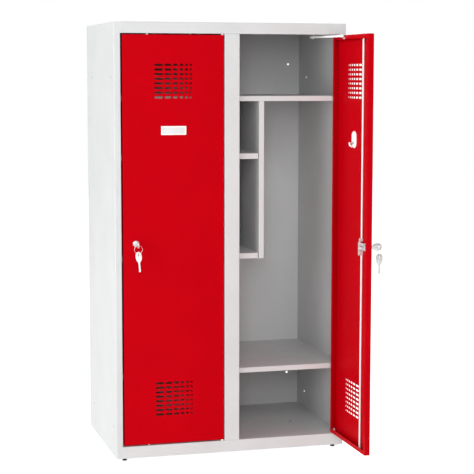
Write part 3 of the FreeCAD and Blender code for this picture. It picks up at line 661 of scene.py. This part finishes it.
def key_blade(shank, half, blade_half, cuts):
    """The blade, with a shoulder at the bow, cuts in one edge and a groove in each face."""
    start = BOW_LENGTH - HOLE_INSET - 0.8 * MM
    tip = BOW_LENGTH - HOLE_INSET + shank
    neck = blade_half + 1.2 * MM
    upper = [Vector((start, neck)), Vector((start + 2.4 * MM, neck)),
             Vector((start + 3.6 * MM, blade_half))]
    lower = [Vector((point.x, -point.y)) for point in upper]
    for place, depth in cuts:
        upper += [Vector((start + place - 1.6 * MM, blade_half)),
                  Vector((start + place - 0.5 * MM, blade_half - depth)),
                  Vector((start + place + 0.5 * MM, blade_half - depth)),
                  Vector((start + place + 1.6 * MM, blade_half))]
    upper += [Vector((tip - 2.4 * MM, blade_half)), Vector((tip, 0.8 * MM))]
    lower += [Vector((tip - 2.4 * MM, -blade_half)), Vector((tip, -0.8 * MM))]
    blade = plate("blade", [lower + upper[::-1]], -half + 0.1 * MM, half - 0.1 * MM, 0.12 * MM)
    groove_length = tip - start - 6.0 * MM
    for face in (-1.0, 1.0):
        groove = plate("groove", [rounded_rectangle(groove_length, 1.5 * MM, 0.7 * MM)],
                       -0.35 * MM, 0.35 * MM, 0.1 * MM)
        along = start + groove_length / 2 + 3.0 * MM
        groove.transform(Matrix.Translation((along, 0.4 * face * MM, face * half)))
        blade = cut(blade, groove)
    return blade


def key_mesh(shank, thickness, blade_half, cuts):
    """A key along +X, with the outer end of its long hole at the origin."""
    half = thickness / 2
    return joined("key", key_bow(half) + [key_blade(shank, half, blade_half, cuts)])


def make_keys(side):
    """The key in the lock and the spare one, which hangs turned and leaning from the ring."""
    low, high = door_box(side, "key")
    thickness = high.x - low.x
    shank = high.y - low.y - BOW_LENGTH
    in_lock = key_mesh(shank, thickness, LOCK_BLADE_HALF, [])
    along_y = Matrix(((0, 0, 1, 0), (1, 0, 0, 0), (0, 1, 0, 0), (0, 0, 0, 1)))
    place = at(side, (low.x + high.x) / 2, low.y + HOLE_INSET, (low.z + high.z) / 2, along_y)
    piece(side + "_lock_key", in_lock, place, "nickel", side + "_lock", [side + "_key"], smooth=30.0)
    spare = key_mesh(SPARE_SHANK, thickness, SPARE_BLADE_HALF, KEY_CUTS)
    lean = Matrix.Rotation(math.radians(-90.0) - SPARE_LEAN[side], 4, "X")
    yaw = Matrix.Rotation(REST_TURN[side] + SPARE_YAW[side], 4, "Z")
    hole = joint_at[side + "_spare_key_swing"] - Vector((0.0, 0.0, HANG_OFFSET))
    place = Matrix.Translation(hole) @ yaw @ lean @ along_y
    piece(side + "_hanging_key", spare, place, "nickel",
          side + "_spare", [side + "_spare_key"], smooth=30.0)


def make_ring(side):
    """A split ring: flattened wire wound twice round, stepping over itself once."""
    low, high = door_box(side, "key_ring")
    wire = 0.4 * MM
    radius = (high.x - low.x) / 2 - 2 * wire
    path, sizes = [], []
    steps, crossing_steepness = 144, 14.0
    for step in range(steps + 1):
        turned = step / steps
        angle = 4.0 * math.pi * turned
        shift = math.tanh(crossing_steepness * (turned - 0.5)) * 1.02 * wire
        path.append(Vector((radius * math.sin(angle), radius * math.cos(angle), shift)))
        taper = min(1.0, 0.35 + 12.0 * min(turned, 1.0 - turned))
        sizes.append((wire * taper, wire * 0.97 * taper))
    mesh = joined("ring", [sweep("ring", path, sizes, Vector((0, 0, 1)), 12)])
    place = at(side, (low.x + high.x) / 2, (low.y + high.y) / 2, (low.z + high.z) / 2,
               OUTWARD @ Matrix.Rotation(math.radians(200.0), 4, "Z"))
    piece(side + "_split_ring", mesh, place, "nickel", side + "_ring", [side + "_key_ring"])


# ---------------------------------------------------------------- coat hook
# how far each ring of the pad is drawn in from its edge, and its height, in mm
PAD_RINGS = [(0.0, 0.0), (0.0, 1.4), (0.4, 2.4), (1.2, 3.2), (2.6, 3.9), (4.8, 4.4), (7.6, 4.75),
             (11.0, 4.95)]
SCREW_FROM_BASE = 17.0 * MM


def hook_pad(width, height, screw_z):
    """The crowned oblong pad, with a countersunk recess for its screw."""
    points = []
    for distance, lift in PAD_RINGS:
        shrink = distance * MM
        ring = rounded_rectangle(width - 2 * shrink, height - 2 * shrink,
                                 width / 2 - 1.2 * MM - shrink, 16)
        points += [Vector((point.x, point.y, lift * MM)) for point in ring]
    pad = fill_mesh("pad", points, tube_faces(len(PAD_RINGS), len(ring)))
    recess = lathe("recess", [(0.0, -1.0 * MM), (2.2 * MM, -1.0 * MM), (2.2 * MM, 2.0 * MM),
                              (4.6 * MM, 4.0 * MM), (4.6 * MM, 6.0 * MM), (0.0, 6.0 * MM)], 32)
    recess.transform(Matrix.Translation((0.0, screw_z, 0.0)))
    return cut(joined("pad", [pad]), joined("recess", [recess]))


def curve_point(control, along):
    """A point on the smooth curve through the control points; whole numbers are the points."""
    index = min(int(along), len(control) - 2)
    part = along - index
    nearby = [control[min(max(index + offset, 0), len(control) - 1)] for offset in (-1, 0, 1, 2)]
    weights = (-0.5 * part ** 3 + part ** 2 - 0.5 * part, 1.5 * part ** 3 - 2.5 * part ** 2 + 1,
               -1.5 * part ** 3 + 2 * part ** 2 + 0.5 * part, 0.5 * part ** 3 - 0.5 * part ** 2)
    place = Vector((0, 0, 0))
    for weight, point in zip(weights, nearby):
        place += point * weight
    return place


def prong_size(share):
    """Half width and half height along the prong: it tapers, swells near its tip and rounds off."""
    half_width = (5.0 - 2.6 * share) * MM
    half_height = (3.0 - 0.7 * share) * MM
    swell_from, swell_over = 0.8, 0.2
    round_from, round_over = 0.93, 0.07
    if share > swell_from:
        bulge = math.sin((share - swell_from) / swell_over * math.pi * 0.75) * 0.5 * MM
        half_width += bulge
        half_height += bulge
    if share > round_from:
        end = math.sqrt(max(1.0 - ((share - round_from) / round_over) ** 2, 0.02))
        half_width *= end
        half_height *= end
    return half_width, half_height


def hook_prong(base, reach):
    """The prong, which leaves the pad low down, comes forward and turns up."""
    control = [Vector((0, base + 9.0 * MM, 2.0 * MM)), Vector((0, base + 5.4 * MM, 7.0 * MM)),
               Vector((0, base + 5.8 * MM, 11.0 * MM)), Vector((0, base + 9.5 * MM, reach - 4.0 * MM)),
               Vector((0, base + 14.0 * MM, reach - 2.8 * MM)),
               Vector((0, base + 19.5 * MM, reach - 2.6 * MM))]
    steps = 40
    shares = [step / steps for step in range(steps + 1)]
    path = [curve_point(control, share * (len(control) - 1)) for share in shares]
    sizes = [prong_size(share) for share in shares]
    return sweep("prong", path, sizes, Vector((1, 0, 0)).cross(Vector((0, 1, 0.3))), 20)


def screw_head():
    """The head of a countersunk cross-head screw."""
    head = lathe("head", [(0.0, 2.4 * MM), (1.9 * MM, 2.4 * MM), (2.0 * MM, 3.4 * MM),
                          (4.3 * MM, 4.7 * MM), (3.7 * MM, 5.3 * MM), (1.8 * MM, 5.6 * MM),
                          (0.0, 5.7 * MM)], 32)
    head = joined("head", [head])
    for turn in (0.0, 90.0):
        slot = plate("slot", [rounded_rectangle(3.0 * MM, 0.7 * MM, 0.3 * MM, 4)],
                     4.6 * MM, 6.4 * MM, 0.05 * MM)
        slot.transform(Matrix.Rotation(math.radians(turn + 20.0), 4, "Z"))
        head = cut(head, slot)
    return head


def make_hook(side):
    low, high = door_box(side, "coat_hook")
    width, height, reach = high.x - low.x, high.z - low.z, high.y - low.y
    base = -height / 2
    screw_z = base + SCREW_FROM_BASE
    place = at(side, (low.x + high.x) / 2, low.y, (low.z + high.z) / 2,
               INWARD @ Matrix.Rotation(math.pi, 4, "Z"))
    mesh = joined("hook", [hook_pad(width, height, screw_z), hook_prong(base, reach)])
    piece(side + "_wardrobe_hook", mesh, place, "white_plastic",
          side + "_door", [side + "_coat_hook"])
    head = screw_head()
    head.transform(Matrix.Translation((0.0, screw_z, 0.0)))
    # painted shade: the screw head is near-black so that the recess it sits in reads as shadow
    piece(side + "_hook_screw", head, place, "dark_plastic", side + "_door")


# ---------------------------------------------------------------- feet
def make_feet():
    """Four ribbed plastic glides, each with a pad on the floor and a stem in the base."""
    low, high = (Vector(corner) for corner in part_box("levelling_feet"))
    body_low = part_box("base_panel")[0][2]
    pad, neck, stem = 8.0 * MM, 7.0 * MM, 4.5 * MM
    rise = body_low - low.z
    total = high.z - low.z
    profile = [(0.0, 0.0), (pad - 1.2 * MM, 0.0), (pad - 0.3 * MM, 0.4 * MM), (pad, 1.2 * MM),
               (pad - 0.1 * MM, 2.4 * MM), (pad - 0.8 * MM, 3.0 * MM), (neck - 0.2 * MM, 3.4 * MM)]
    ribs = 5
    for rib in range(ribs):
        z = 3.8 * MM + (rise - 5.0 * MM) * rib / ribs
        profile += [(neck - 0.5 * MM, z), (neck, z + 0.4 * MM)]
    profile += [(neck, rise - 0.3 * MM), (neck - 0.2 * MM, rise), (stem, rise), (stem, rise + 2.0 * MM),
                (stem - 0.9 * MM, total - 0.6 * MM), (stem - 1.6 * MM, total), (0.0, total)]
    meshes = []
    for x in (low.x + pad, high.x - pad):
        for y in (low.y + pad, high.y - pad):
            foot = lathe("foot", profile, 40)
            foot.transform(Matrix.Translation((x, y, low.z)))
            meshes.append(foot)
    piece("glide_feet", joined("feet", meshes), Matrix.Identity(4), "dark_plastic",
          "cabinet", ["levelling_feet"])


for door_side in ("left", "right"):
    make_label(door_side)
    make_barrel(door_side)
    make_keys(door_side)
    make_ring(door_side)
    make_hook(door_side)
make_feet()
